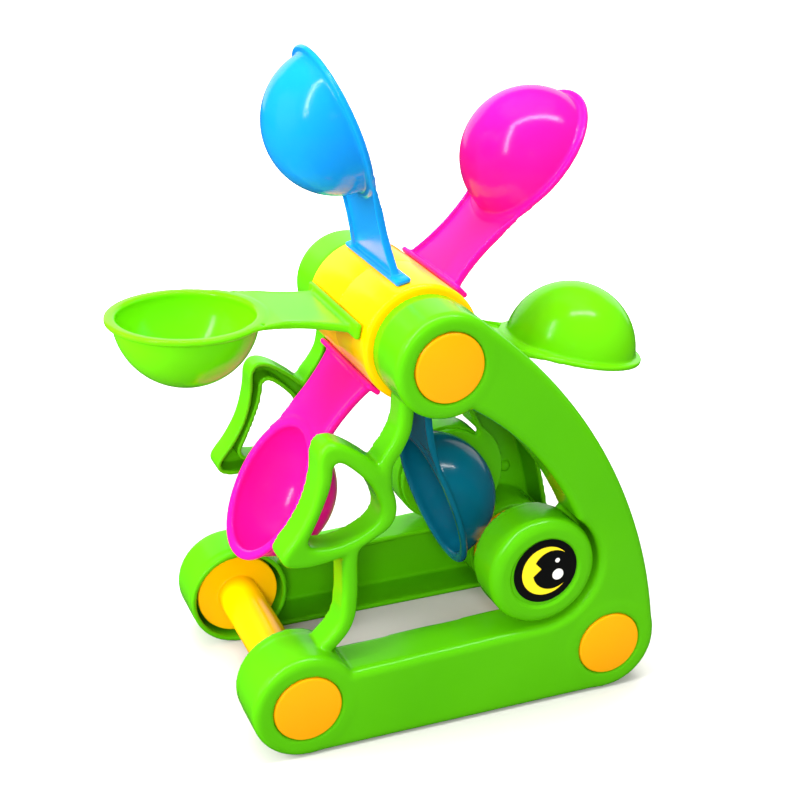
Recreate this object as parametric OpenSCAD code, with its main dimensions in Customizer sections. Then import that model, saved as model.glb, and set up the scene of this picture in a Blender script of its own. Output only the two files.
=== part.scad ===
// Sand wheel toy: two hollow side frames held apart by two crossbars, and a
// six-scoop wheel that turns freely on an axle between their heads.
// X runs from the front feet to the rear feet, Z is up, Y is the width.
// The origin lies on the floor, midway between the feet and the two frames.

/* [Overall] */
// Distance between the front and the rear crossbar
foot_span = 140; // [115:1:170]
// Width over the outer faces of the two side frames
frame_w = 124; // [110:1:150]
// Height of the wheel axle above the crossbars
axle_rise = 141.5; // [120:0.5:170]
// How far the axle lies in front of the middle of the base
axle_shift = 10; // [0:1:18]

/* [Side frames] */
// Radius of the round foot at each crossbar
foot_r = 23; // [21:0.5:28]
// Radius of the round head at the axle
head_r = 22; // [20:0.5:27]
// Depth of the body of a frame
body_d = 22; // [19:0.5:24]
// Depth of the round feet and head
boss_d = 27; // [25:0.5:29]
// Thickness of the outer skin
skin_t = 2.4; // [1.8:0.1:3.5]
// Thickness of the side walls
wall_t = 2.2; // [1.6:0.1:3]
// Thickness of the end plate of the feet and the head
end_plate_t = 4.4; // [3.6:0.1:6]
// Radius of the outer curve of the arm
arm_out_r = 226; // [180:1:300]
// Radius of the inner curve of the arm
arm_in_r = 132.5; // [115:0.5:170]
// How far the inner curve passes under the axle centre
arm_head_gap = 12.5; // [8:0.5:15]
// How far the inner curve passes in front of the rear crossbar
arm_foot_gap = 6.8; // [3:0.1:10]
// Height of the top of the base over the crossbars at the front
base_top_h = 12; // [8:0.5:16]
// Width of the slim front limb and its hand loop
limb_w = 6.4; // [5:0.1:8]
// Thickness of the limb's walls beside its inner groove
limb_wall_t = 1.8; // [1.5:0.1:2.2]
// How far the limb's outer face lies inside the frame's own, at the hand loop
limb_sink = 7.5; // [4:0.1:11]
// The same where the limb meets the head
limb_head_sink = 10; // [4:0.1:12]
// The same where the limb meets the front foot
limb_foot_sink = 8.5; // [4:0.1:12]

/* [Crossbars, axle and caps] */
// Diameter of a crossbar
bar_d = 19; // [17:0.5:22]
// Diameter of the flange at each end of a crossbar
bar_flange_d = 38; // [32:0.5:38]
// Thickness of that flange
bar_flange_t = 2.4; // [1.8:0.1:3]
// Depth of the flange inside the rim of a foot
flange_sink = 3.8; // [2:0.1:5]
// Diameter of the spigots that enter the frames
spigot_d = 15; // [13:0.5:16]
// Diameter of the axle where the drum turns
axle_d = 17; // [16.5:0.5:18]
// Diameter of the bore that takes a cap's stem
stem_bore_d = 9; // [7:0.5:10]
// Depth of that bore
stem_bore_l = 16; // [12:1:20]
// Length of a cap's stem below its head
cap_stem_l = 13; // [9:1:15]
// Diameter of a cap
cap_d = 29.4; // [26:0.2:31]
// Depth of a cap's recess in the end plate
cap_sink = 1.8; // [1.2:0.1:2.4]
// Height of a cap's dome over the frame
cap_dome_h = 1.4; // [0.8:0.1:2]

/* [Eye buttons] */
// Radius of an eye button
eye_r = 24.6; // [20:0.2:27]
// Depth of an eye button
eye_d = 18; // [14:0.5:20]
// Distance of the eye's centre in front of the rear crossbar
eye_back = 33.6; // [30:0.2:38]
// Height of the eye's centre over the crossbars
eye_up = 41.8; // [38:0.2:48]
// Gap between a button and the frame's curved corner
eye_gap = 1.9; // [1:0.1:3]
// Radius of the rounding of a button's rim
eye_round_r = 5; // [3:0.1:6]
// Radius of the dish round the printed eye
dish_r = 15.6; // [15.3:0.1:18]
// Depth of that dish
dish_d = 1.1; // [0.6:0.1:1.6]
// Diameter of a button's stem
eye_stem_d = 10; // [8:0.5:12]
// Radius of the printed eye
sticker_r = 14.8; // [12:0.2:16]
// Thickness of the printed eye
sticker_t = 0.3; // [0.2:0.05:0.5]

/* [Wheel] */
// Radius of the drum
drum_r = 25.3; // [23.5:0.1:28]
// Radius of the rounding at the drum's ends
drum_round_r = 2; // [1:0.1:3.4]
// Thickness of the drum's wall
drum_wall_t = 2.2; // [1.6:0.1:2.6]
// Gap between the drum and the rim of each head
drum_end_gap = 0.8; // [0.4:0.1:1.2]
// Thickness of the wall round the drum's hub bore
hub_wall_t = 2; // [1.6:0.1:2.2]
// Angle of the wheel as it stands
wheel_phase = -15.5; // [-30:0.5:30]
// Diameter of the pegs that join the drum's halves
peg_d = 3; // [2.4:0.1:3.4]
// Length of a peg in its socket
peg_l = 6; // [4:0.5:9]

/* [Scoops] */
// Gap between a scoop's lip and the body of each side frame
lip_side_gap = 7.6; // [4:0.1:10]
// Width of the lip from the bowl's inside to its outer edge
lip_w = 4.2; // [3:0.1:5]
// Thickness of the bowl's wall
bowl_wall_t = 1.4; // [1.2:0.1:2.2]
// Thickness of the lip
lip_t = 2.4; // [2:0.1:3.6]
// Distance from the axle to the near edge of the lip
bowl_reach = 57; // [52:0.5:66]
// Angle by which a bowl leans back from its strap
bowl_tilt = 7.5; // [0:0.5:12]
// Thickness of the strap
strap_t = 1.6; // [1.4:0.1:3]
// How far the strap's sides lie inside the lip's edge at the strap's waist
waist_inset = 12.1; // [9:0.1:16]
// Distance from the axle to the strap's waist
waist_reach = 46.5; // [42:0.5:52]
// Radius of the curve of the strap's sides
strap_side_r = 50; // [40:1:80]
// Width of the ribs along the strap's edges
rib_w = 1.8; // [1.4:0.1:2.6]
// Height of the ribs over the strap
rib_h = 1.4; // [0.8:0.1:3]
// Gap between the end of a seat plate and the rim of the head beside it
seat_end_gap = 5.4; // [3:0.1:8]
// Width of the seat plate
seat_w = 6.6; // [5.6:0.1:9]
// Thickness of the seat plate
seat_t = 2.4; // [2:0.1:3.5]
// How far the tang's sides lie inside the ends of the seat plate
tang_inset = 8.6; // [6:0.1:12]
// Depth of the tang inside the drum's surface
tang_l = 9; // [6:0.5:10]

/* [Fits] */
// Radial clearance of the turning drum on its axle
run_gap = 0.1; // [0.05:0.01:0.1]
// Clearance between pieces that are pressed or clipped together
fit_gap = 0.05; // [0.02:0.01:0.1]
// Gap between a cap or a sticker and its recess
show_gap = 0.3; // [0.2:0.05:0.5]
// Play of a tang in its slot, each side
slot_play = 0.8; // [0.7:0.05:1]

/* [Hidden] */

$fn = 96;
fine_fn = 360;
// Overrun of every cut past the face that it opens
over = 1;

// Places in the side view, as [x, z]
front_foot = [-foot_span / 2, foot_r];
rear_foot = [foot_span / 2, foot_r];
head = [-axle_shift, foot_r + axle_rise];
eye = [foot_span / 2 - eye_back, foot_r + eye_up];

// Distances from the middle plane to the faces of a frame
face_y = frame_w / 2;
body_y = face_y - body_d;
boss_y = face_y - boss_d;
flange_y = boss_y + flange_sink;
plate_y = face_y - end_plate_t;
recess_y = face_y - cap_sink;

// The bowls and their seat on the drum
scoop_count = 6;
rim_height = strap_t / 2;
seat_x = drum_r + fit_gap;
lip_r = body_y - lip_side_gap;
bowl_r = lip_r - lip_w + bowl_wall_t;
waist_half_w = lip_r - waist_inset;
seat_l = 2 * (boss_y - seat_end_gap);
tang_w = seat_l - 2 * tang_inset;
// How far the strap reaches under the lip, as a share of the lip's radius
tuck_share = 0.42;
strap_tuck = tuck_share * lip_r;
// Each scoop hangs a little in its slot, as far as the slot lets it, in degrees
scoop_leans = [-1, -1, -3.5, -6, 6, 7];
scoop_step = 360 / scoop_count;
first_scoop = 2 * scoop_step;

// Centre of a circle that passes at rp from p and at rq from q,
// on the side of the line between them that faces the front foot
function meet(p, rp, q, rq) =
    let (
        d = norm(q - p),
        a = (rp * rp - rq * rq + d * d) / (2 * d),
        h = sqrt(rp * rp - a * a),
        along = (q - p) / d,
        across = [-along[1], along[0]]
    )
    p + a * along - h * across;

arm_out_c = meet(head, arm_out_r - head_r, rear_foot, arm_out_r - foot_r);
arm_in_c = meet(head, arm_in_r + arm_head_gap, rear_foot, arm_in_r + arm_foot_gap);
cove_r = eye_r + eye_gap;
// The seat plate's radius is this much less than its button's
eye_seat_step = wall_t / 2;
// Directions from the eye's centre to the ends of the corner's curve, in degrees
cove_ends = [-98, 52];
// Reach of a wedge that bounds a curve, as a share of the curve's own reach
wedge_share = 2;

// The limb and its hand loop in side view: shares of foot_span behind the
// front crossbar and shares of axle_rise over it
upper_limb_shares = [
    [0.261, 0.657], [0.264, 0.693], [0.274, 0.719], [0.299, 0.752],
    [0.322, 0.793], [0.331, 0.830], [0.336, 0.880]
];
lower_limb_shares = [
    [0.164, 0.481], [0.157, 0.424], [0.157, 0.371], [0.157, 0.318],
    [0.155, 0.283], [0.151, 0.247], [0.138, 0.209], [0.114, 0.177],
    [0.082, 0.146], [0.061, 0.127]
];
loop_rim_shares = [
    [0.065, 0.760], [0.062, 0.714], [0.054, 0.664], [0.034, 0.602],
    [-0.001, 0.540], [-0.038, 0.493], [-0.051, 0.468], [-0.043, 0.444],
    [-0.018, 0.431], [0.027, 0.426], [0.086, 0.431], [0.146, 0.442],
    [0.189, 0.459], [0.234, 0.482], [0.275, 0.506], [0.297, 0.541],
    [0.299, 0.585], [0.286, 0.632], [0.263, 0.684], [0.226, 0.724],
    [0.182, 0.759], [0.137, 0.787], [0.103, 0.796], [0.079, 0.787]
];
loop_hole_shares = [
    [0.105, 0.702], [0.107, 0.721], [0.120, 0.732], [0.137, 0.729],
    [0.163, 0.710], [0.196, 0.678], [0.222, 0.645], [0.241, 0.608],
    [0.250, 0.570], [0.243, 0.539], [0.220, 0.515], [0.176, 0.492],
    [0.116, 0.477], [0.061, 0.480], [0.036, 0.490], [0.031, 0.510],
    [0.044, 0.539], [0.063, 0.578], [0.081, 0.621], [0.096, 0.661]
];
// Points put on the smooth curve between two of the points above
curve_steps = 4;

// The peg on the inner face of the arm: its place along the arm's mid line
arm_peg_share = 0.18;
arm_peg_d = 2.5 * wall_t;
arm_peg_l = wall_t;

// Puts a side view between y0 and the larger y1
module slab(y0, y1) {
    translate([0, y1, 0])
        rotate([90, 0, 0])
            linear_extrude(height = y1 - y0)
                children();
}

// Turns a profile of [radius, distance from the middle plane] round a
// crosswise line through the place p
module lathe(p) {
    translate([p[0], 0, p[1]])
        rotate([-90, 0, 0])
            rotate_extrude()
                children();
}

// One band of such a profile
module band(r0, r1, y0, y1) {
    translate([r0, y0])
        square([r1 - r0, y1 - y0]);
}

module disc_at(p, r) {
    translate(p)
        circle(r = r);
}

function on_frame(share) = [
    front_foot[0] + share[0] * foot_span,
    front_foot[1] + share[1] * axle_rise
];

// A smooth curve from b to c that heads the way its neighbours a and d lie
function curve(a, b, c, d, t) =
    (2 * b + (c - a) * t + (2 * a - 5 * b + 4 * c - d) * t * t
     + (3 * b - a - 3 * c + d) * t * t * t) / 2;

function closed_curve(shares) = [
    let (n = len(shares), p = [for (s = shares) on_frame(s)])
    for (i = [0 : n - 1], j = [0 : curve_steps - 1])
        curve(p[(i + n - 1) % n], p[i], p[(i + 1) % n], p[(i + 2) % n], j / curve_steps)
];

function open_curve(shares) = [
    let (n = len(shares), p = [for (s = shares) on_frame(s)])
    for (i = [0 : n - 2], j = [0 : curve_steps - (i == n - 2 ? 0 : 1)])
        curve(p[max(i - 1, 0)], p[i], p[i + 1], p[min(i + 2, n - 1)], j / curve_steps)
];

// The way that lies to the left of point i of a curve
function left_way(p, i, closed) =
    let (
        n = len(p),
        before = closed ? p[(i + n - 1) % n] : p[max(i - 1, 0)],
        after = closed ? p[(i + 1) % n] : p[min(i + 1, n - 1)],
        run = (after - before) / norm(after - before)
    )
    [-run[1], run[0]];

// A closed curve moved sideways, to its left where the distance is positive
function beside(p, distance) =
    [for (i = [0 : len(p) - 1]) p[i] + distance * left_way(p, i, true)];

// A strip of an even width along an open curve
module strip(p, half_w) {
    last = len(p) - 1;
    polygon([
        for (i = [0 : last]) p[i] + half_w * left_way(p, i, false),
        for (i = [last : -1 : 0]) p[i] - half_w * left_way(p, i, false)
    ]);
}

// Shares of axle_rise over the front crossbar between which the limb's outer
// face slopes: from the foot up to the hand loop, and from there up to the head
limb_slope_shares = [0.14, 0.31, 0.68, 0.86];

// The limb's depth, as a side profile of [y, z] that runs along the whole base
module limb_depth(inset) {
    heights = [for (share = limb_slope_shares) front_foot[1] + share * axle_rise];
    translate([-foot_span, 0, 0])
        rotate([90, 0, 90])
            linear_extrude(height = 2 * foot_span)
                polygon([
                    [0, 0],
                    [face_y - limb_foot_sink - inset, 0],
                    [face_y - limb_foot_sink - inset, heights[0]],
                    [face_y - limb_sink - inset, heights[1]],
                    [face_y - limb_sink - inset, heights[2]],
                    [face_y - limb_head_sink - inset, heights[3]],
                    [face_y - limb_head_sink - inset, head[1] + head_r],
                    [0, head[1] + head_r]
                ]);
}

// The rim runs anticlockwise and the hole clockwise, so the loop's own
// material lies to the left of the first and to the left of the second
module limb_outline(inset) {
    difference() {
        union() {
            polygon(beside(closed_curve(loop_rim_shares), inset));
            strip(open_curve(upper_limb_shares), limb_w / 2 - inset);
            strip(open_curve(lower_limb_shares), limb_w / 2 - inset);
        }
        polygon(beside(closed_curve(loop_hole_shares), inset));
    }
}

module arm_outline(inset) {
    difference() {
        intersection() {
            disc_at(arm_out_c, arm_out_r - inset);
            polygon([
                arm_out_c,
                arm_out_c + wedge_share * (head - arm_out_c),
                arm_out_c + wedge_share * (rear_foot - arm_out_c)
            ]);
        }
        disc_at(arm_in_c, arm_in_r + inset);
    }
}

// The base, with the corner that rises behind the eye button
module base_outline(inset) {
    polygon([
        [front_foot[0], inset],
        [rear_foot[0], inset],
        [rear_foot[0], eye[1]],
        [eye[0], eye[1] - cove_r - inset],
        [front_foot[0], front_foot[1] + base_top_h - inset]
    ]);
}

module body_outline(inset) {
    difference() {
        union() {
            arm_outline(inset);
            base_outline(inset);
        }
        disc_at(eye, cove_r + inset);
    }
}

module round_ends(inset) {
    disc_at(front_foot, foot_r - inset);
    disc_at(rear_foot, foot_r - inset);
    disc_at(head, head_r - inset);
}

// The plate behind an eye button, which hangs on the curved corner
module eye_seat_outline() {
    disc_at(eye, eye_r - eye_seat_step);
    intersection() {
        disc_at(eye, cove_r + wall_t / 2);
        polygon([
            eye,
            for (angle = [cove_ends[0], (cove_ends[0] + cove_ends[1]) / 2, cove_ends[1]])
                eye + wedge_share * cove_r * [cos(angle), sin(angle)]
        ]);
    }
}

// The tube inside a foot or the head that takes a spigot
module spigot_tube(p) {
    lathe(p)
        band(spigot_d / 2 + fit_gap, spigot_d / 2 + fit_gap + wall_t,
             flange_y + bar_flange_t, plate_y + over);
}

// The recess of a cap and the bore behind it that takes the spigot
module cap_bore(p) {
    lathe(p) {
        band(0, cap_d / 2 + show_gap, recess_y, face_y + over);
        band(0, spigot_d / 2 + fit_gap, plate_y - over, face_y);
    }
}

module side_frame() {
    color("#5cc814")
    difference() {
        union() {
            difference() {
                union() {
                    slab(body_y, face_y)
                        body_outline(0);
                    intersection() {
                        slab(body_y, face_y)
                            limb_outline(0);
                        limb_depth(0);
                    }
                    slab(boss_y, face_y)
                        round_ends(0);
                }
                slab(body_y - over, face_y - skin_t)
                    difference() {
                        body_outline(wall_t);
                        round_ends(0);
                    }
                intersection() {
                    slab(body_y - over, face_y)
                        difference() {
                            limb_outline(limb_wall_t);
                            round_ends(0);
                        }
                    limb_depth(skin_t);
                }
                slab(boss_y - over, plate_y)
                    round_ends(wall_t);
            }
            slab(body_y, face_y - eye_d - fit_gap)
                eye_seat_outline();
            spigot_tube(front_foot);
            spigot_tube(rear_foot);
            spigot_tube(head);
            arm_peg();
        }
        cap_bore(front_foot);
        cap_bore(rear_foot);
        cap_bore(head);
        lathe(eye)
            band(0, eye_stem_d / 2 + fit_gap, body_y - over, face_y);
    }
}

// A small round peg on the inside of the arm's skin
module arm_peg() {
    turn = atan2(rear_foot[1] - arm_out_c[1], rear_foot[0] - arm_out_c[0]);
    span = atan2(head[1] - arm_out_c[1], head[0] - arm_out_c[0]) - turn;
    angle = turn + arm_peg_share * span;
    reach = arm_out_r - foot_r / 2;
    slab(face_y - skin_t - arm_peg_l, face_y - skin_t / 2)
        disc_at(arm_out_c + reach * [cos(angle), sin(angle)], arm_peg_d / 2);
}

// A crossbar: one tube, with a flange and a spigot at each end
module crossbar(p) {
    color("#ffe100")
        difference() {
            for (side = [0, 1])
                mirror([0, side, 0])
                    lathe(p) {
                        band(0, bar_d / 2, 0, flange_y);
                        band(0, bar_flange_d / 2, flange_y, flange_y + bar_flange_t);
                        band(0, spigot_d / 2, flange_y, recess_y - fit_gap);
                    }
            for (side = [0, 1])
                mirror([0, side, 0])
                    lathe(p)
                        band(0, stem_bore_d / 2, recess_y - stem_bore_l, face_y);
        }
}

// The axle is stepped: its shoulders keep the two heads apart
module axle() {
    color("#ffe100")
        difference() {
            for (side = [0, 1])
                mirror([0, side, 0])
                    lathe(head) {
                        band(0, axle_d / 2, 0, flange_y + bar_flange_t);
                        band(0, spigot_d / 2, flange_y, recess_y - fit_gap);
                    }
            for (side = [0, 1])
                mirror([0, side, 0])
                    lathe(head)
                        band(0, stem_bore_d / 2, recess_y - stem_bore_l, face_y);
        }
}

// A cap: a shallow dome on a plain rim, with a stem
module cap(p) {
    dome_r = (cap_d * cap_d / 4 + cap_dome_h * cap_dome_h) / (2 * cap_dome_h);
    color("#ffb800")
        lathe(p) {
            band(0, cap_d / 2, recess_y, face_y);
            intersection() {
                translate([0, face_y + cap_dome_h - dome_r])
                    circle(r = dome_r, $fn = fine_fn);
                band(0, cap_d / 2, face_y, face_y + cap_dome_h + over);
            }
            band(0, stem_bore_d / 2 - fit_gap, recess_y - cap_stem_l, face_y);
        }
}

// An eye button: a hollow cup with a rounded rim and a dished face
module eye_button() {
    floor_y = face_y - dish_d;
    color("#5cc814")
        lathe(eye)
            difference() {
                union() {
                    intersection() {
                        round_end_half(eye_r, face_y, eye_round_r);
                        band(0, eye_r, face_y - eye_d, face_y);
                    }
                    band(0, eye_stem_d / 2, body_y + fit_gap, face_y - eye_d);
                }
                polygon([
                    [0, floor_y], [dish_r, floor_y],
                    [dish_r + dish_d, face_y], [dish_r + dish_d, face_y + over],
                    [0, face_y + over]
                ]);
                band(eye_stem_d / 2 + wall_t, eye_r - wall_t,
                     face_y - eye_d - over, floor_y - skin_t);
            }
}

module eye_sticker() {
    floor_y = face_y - dish_d;
    color("#1c1c1c")
        lathe(eye)
            band(0, sticker_r, floor_y, floor_y + sticker_t);
}

// Places its child at a scoop's angle round the axle, x outwards
module on_wheel(angle) {
    translate([head[0], 0, head[1]])
        rotate([0, -angle, 0])
            children();
}

// A profile from the middle plane to y1, whose outer corner is rounded
module round_end_half(r, y1, round_r) {
    band(0, r, 0, y1 - round_r);
    band(0, r - round_r, 0, y1);
    translate([r - round_r, y1 - round_r])
        circle(r = round_r);
}

// Half of the drum, on the side of positive y; the other half is its mirror
module drum_shell(angle) {
    drum_y = boss_y - drum_end_gap;
    hub_r = axle_d / 2 + run_gap;
    difference() {
        lathe(head) {
            intersection() {
                difference() {
                    round_end_half(drum_r, drum_y, drum_round_r);
                    round_end_half(drum_r - drum_wall_t, drum_y - drum_wall_t,
                                   drum_round_r / 2);
                }
                band(hub_r, drum_r, 0, drum_y);
            }
            band(hub_r, hub_r + hub_wall_t, 0, drum_y - drum_wall_t / 2);
        }
        for (i = [0 : scoop_count - 1])
            on_wheel(angle + i * scoop_step)
                translate([drum_r / 2, -over, -strap_t / 2 - slot_play])
                    cube([drum_r, tang_w / 2 + slot_play + over,
                          strap_t + 2 * slot_play]);
    }
}

// Places its child between two scoops, inside the drum
module between_tangs() {
    peg_ring_r = (axle_d / 2 + hub_wall_t + drum_r - drum_wall_t) / 2;
    for (i = [0 : 2 : scoop_count - 1])
        on_wheel(wheel_phase + (i + 1 / 2) * scoop_step)
            translate([peg_ring_r, 0, 0])
                rotate([-90, 0, 0])
                    children();
}

// The pegs' posts fill the drum from the seam to its end
module post() {
    cylinder(d = peg_d + 2 * hub_wall_t, h = boss_y - drum_end_gap - drum_wall_t / 2);
}

module drum_half_right() {
    color("#ffe100")
        difference() {
            union() {
                drum_shell(wheel_phase);
                between_tangs()
                    post();
            }
            between_tangs()
                translate([0, 0, -over])
                    cylinder(d = peg_d + 2 * fit_gap, h = peg_l + 2 * over);
        }
}

module drum_half_left() {
    color("#ffe100") {
        mirror([0, 1, 0])
            drum_shell(wheel_phase);
        between_tangs() {
            mirror([0, 0, 1])
                post();
            cylinder(d = peg_d, h = peg_l);
        }
    }
}

// The strap's outline in the scoop's own plane: x outwards, y across
module strap_outline(inset) {
    difference() {
        translate([seat_x, -lip_r])
            square([bowl_reach + strap_tuck - seat_x, 2 * lip_r]);
        for (side = [-1, 1])
            translate([waist_reach, side * (waist_half_w + strap_side_r)])
                circle(r = strap_side_r + inset);
    }
}

// The ribs along the strap's edges, on the bowl's side
module strap_ribs() {
    translate([0, 0, -strap_t / 2 - rib_h])
        linear_extrude(height = rib_h + strap_t / 2)
            difference() {
                strap_outline(0);
                strap_outline(rib_w);
            }
}

// The lip and the bowl, turned about the middle of the mouth
module bowl() {
    lip_round = lip_t / 2;
    rotate_extrude() {
        intersection() {
            difference() {
                circle(r = bowl_r);
                circle(r = bowl_r - bowl_wall_t);
            }
            translate([0, -bowl_r])
                square([bowl_r, bowl_r]);
        }
        translate([bowl_r - bowl_wall_t, -lip_t])
            square([lip_r - lip_round - bowl_r + bowl_wall_t, lip_t]);
        translate([lip_r - lip_round, -lip_round])
            circle(r = lip_round);
    }
}

// A scoop with x outwards from the axle and its mouth facing +z
module scoop_shape() {
    difference() {
        union() {
            translate([0, 0, -strap_t / 2])
                linear_extrude(height = strap_t)
                    strap_outline(0);
            strap_ribs();
            translate([seat_x, -seat_l / 2, -seat_w / 2])
                cube([seat_t, seat_l, seat_w]);
            translate([drum_r - tang_l, -tang_w / 2, -strap_t / 2])
                cube([tang_l + seat_t, tang_w, strap_t]);
        }
        bowl_place()
            sphere(r = bowl_r - bowl_wall_t / 2);
        bowl_place()
            cylinder(r = lip_r + strap_tuck, h = lip_r);
    }
    bowl_place()
        bowl();
}

// Moves the middle of the mouth to its place, leaning back from the strap
module bowl_place() {
    translate([bowl_reach, 0, rim_height])
        rotate([0, bowl_tilt, 0])
            translate([lip_r, 0, 0])
                children();
}

// A leaning scoop rolls on the drum, so its seat plate stays clear of it
module scoop(index, tint) {
    lean = scoop_leans[index];
    color(tint)
        on_wheel(wheel_phase + first_scoop - index * scoop_step)
            translate([seat_x / cos(lean), 0, 0])
                rotate([0, -lean, 0])
                    translate([-seat_x, 0, 0])
                        rotate([180, 0, 0])
                            scoop_shape();
}

module left_side() {
    mirror([0, 1, 0])
        children();
}

module side_frame_left() { left_side() side_frame(); }
module side_frame_right() { side_frame(); }
module front_crossbar() { crossbar(front_foot); }
module rear_crossbar() { crossbar(rear_foot); }
module wheel_axle() { axle(); }
module front_cap_left() { left_side() cap(front_foot); }
module front_cap_right() { cap(front_foot); }
module rear_cap_left() { left_side() cap(rear_foot); }
module rear_cap_right() { cap(rear_foot); }
module axle_cap_left() { left_side() cap(head); }
module axle_cap_right() { cap(head); }
module eye_button_left() { left_side() eye_button(); }
module eye_button_right() { eye_button(); }
module eye_sticker_left() { left_side() eye_sticker(); }
module eye_sticker_right() { eye_sticker(); }
module scoop_blue_upper() { scoop(0, "#1eb4ff"); }
module scoop_pink_upper() { scoop(1, "#ff28c8"); }
module scoop_green_rear() { scoop(2, "#5cd21e"); }
module scoop_blue_lower() { scoop(3, "#1eb4ff"); }
module scoop_pink_lower() { scoop(4, "#ff28c8"); }
module scoop_green_front() { scoop(5, "#5cd21e"); }

side_frame_left();
side_frame_right();
front_crossbar();
rear_crossbar();
wheel_axle();
front_cap_left();
front_cap_right();
rear_cap_left();
rear_cap_right();
axle_cap_left();
axle_cap_right();
eye_button_left();
eye_button_right();
eye_sticker_left();
eye_sticker_right();
drum_half_left();
drum_half_right();
scoop_blue_upper();
scoop_pink_upper();
scoop_green_rear();
scoop_blue_lower();
scoop_pink_lower();
scoop_green_front();
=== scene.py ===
import math

import bpy
import bmesh
import numpy as np
from mathutils import Matrix, Vector
from mathutils.geometry import delaunay_2d_cdt


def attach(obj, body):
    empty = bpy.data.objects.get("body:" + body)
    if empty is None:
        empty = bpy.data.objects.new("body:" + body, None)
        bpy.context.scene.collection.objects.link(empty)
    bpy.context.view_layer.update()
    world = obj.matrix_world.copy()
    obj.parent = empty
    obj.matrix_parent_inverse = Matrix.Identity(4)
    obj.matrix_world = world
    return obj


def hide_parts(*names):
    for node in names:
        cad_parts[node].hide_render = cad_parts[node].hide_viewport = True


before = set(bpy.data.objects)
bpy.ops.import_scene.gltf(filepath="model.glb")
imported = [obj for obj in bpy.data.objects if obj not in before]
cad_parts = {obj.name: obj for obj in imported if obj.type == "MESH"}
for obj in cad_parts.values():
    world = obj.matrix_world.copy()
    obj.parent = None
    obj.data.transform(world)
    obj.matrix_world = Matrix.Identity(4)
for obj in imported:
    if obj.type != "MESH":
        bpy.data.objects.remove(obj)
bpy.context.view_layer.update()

# All sizes below are in millimetres, as in the part's own source; MM turns them into metres.
MM = 0.001

# The stand
FOOT_SPAN = 140.0         # between the middles of the crossbars
FRAME_W = 124.0           # over the side frames' outer faces
AXLE_RISE = 141.5         # from the crossbars up to the axle
AXLE_SHIFT = 10.0         # from the middle of the stand forward to the axle
FOOT_R = 23.0
HEAD_R = 22.0
BODY_D = 22.0             # depth of the arm and the base
BOSS_D = 27.0             # depth of the feet and the head
SKIN_T = 2.4
WALL_T = 2.2
END_PLATE_T = 4.4
ARM_OUT_R = 226.0
ARM_IN_R = 132.5
ARM_HEAD_GAP = 12.5       # from the head's middle to the arm's inner edge
ARM_FOOT_GAP = 6.8        # from the rear foot's middle to the arm's inner edge
BASE_TOP_H = 12.0         # from the front foot's middle to the base's top
LIMB_W = 6.4
LIMB_WALL_T = 1.8
LIMB_SINK = 7.5           # how far the limb lies behind the outer face, at the loop
LIMB_HEAD_SINK = 10.0
LIMB_FOOT_SINK = 8.5

# Crossbars, axle and caps
BAR_D = 19.0
FLANGE_D = 38.0
FLANGE_T = 2.4
FLANGE_SINK = 3.8
SPIGOT_D = 15.0
AXLE_D = 17.0
CAP_D = 29.4
CAP_SINK = 1.8
CAP_DOME_H = 1.4

# Eye buttons and their prints
EYE_R = 24.6
EYE_D = 18.0
EYE_BACK = 33.6           # from the rear foot forward to the button's middle
EYE_UP = 41.8             # from the rear foot up to the button's middle
EYE_GAP = 1.9
EYE_ROUND_R = 5.0
EYE_STEM_D = 10.0
DISH_R = 15.6
DISH_D = 1.1
STICKER_R = 14.8
STICKER_T = 0.3

# Drum
DRUM_R = 25.3
DRUM_ROUND_R = 2.0
DRUM_END_GAP = 0.8

# Scoops
WHEEL_PHASE = -15.5       # degrees
SCOOP_STEP = 60.0         # degrees
LIP_SIDE_GAP = 7.6
LIP_W = 4.2
LIP_T = 2.4
BOWL_WALL_T = 1.4
BOWL_REACH = 57.0         # from the axle to the near side of the lip
BOWL_TILT = 7.5           # degrees
STRAP_T = 1.6
STRAP_SIDE_R = 50.0
WAIST_INSET = 12.1
WAIST_REACH = 46.5
RIB_W = 1.8
RIB_H = 1.4
SEAT_END_GAP = 5.4
SEAT_W = 6.6
SEAT_T = 2.4
TANG_INSET = 8.6
TANG_L = 9.0

# Gaps between pieces
RUN_GAP = 0.1
FIT_GAP = 0.05
SHOW_GAP = 0.3

FRONT_FOOT = np.array([-FOOT_SPAN / 2, FOOT_R])
REAR_FOOT = np.array([FOOT_SPAN / 2, FOOT_R])
HEAD = np.array([-AXLE_SHIFT, FOOT_R + AXLE_RISE])
EYE = np.array([FOOT_SPAN / 2 - EYE_BACK, FOOT_R + EYE_UP])
FACE_Y = FRAME_W / 2
BODY_Y = FACE_Y - BODY_D
BOSS_Y = FACE_Y - BOSS_D
FLANGE_Y = BOSS_Y + FLANGE_SINK
COVE_R = EYE_R + EYE_GAP
SEAT_X = DRUM_R + FIT_GAP
LIP_R = BODY_Y - LIP_SIDE_GAP
BOWL_IN_R = LIP_R - LIP_W
SEAT_L = 2 * (BOSS_Y - SEAT_END_GAP)
TANG_W = SEAT_L - 2 * TANG_INSET


def meet(p, rp, q, rq):
    """Centre of the circle that passes at rp from p and at rq from q, on the front foot's side."""
    d = np.linalg.norm(q - p)
    a = (rp * rp - rq * rq + d * d) / (2 * d)
    h = math.sqrt(rp * rp - a * a)
    along = (q - p) / d
    across = np.array([-along[1], along[0]])
    return p + a * along - h * across


ARM_OUT_C = meet(HEAD, ARM_OUT_R - HEAD_R, REAR_FOOT, ARM_OUT_R - FOOT_R)
ARM_IN_C = meet(HEAD, ARM_IN_R + ARM_HEAD_GAP, REAR_FOOT, ARM_IN_R + ARM_FOOT_GAP)

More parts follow.
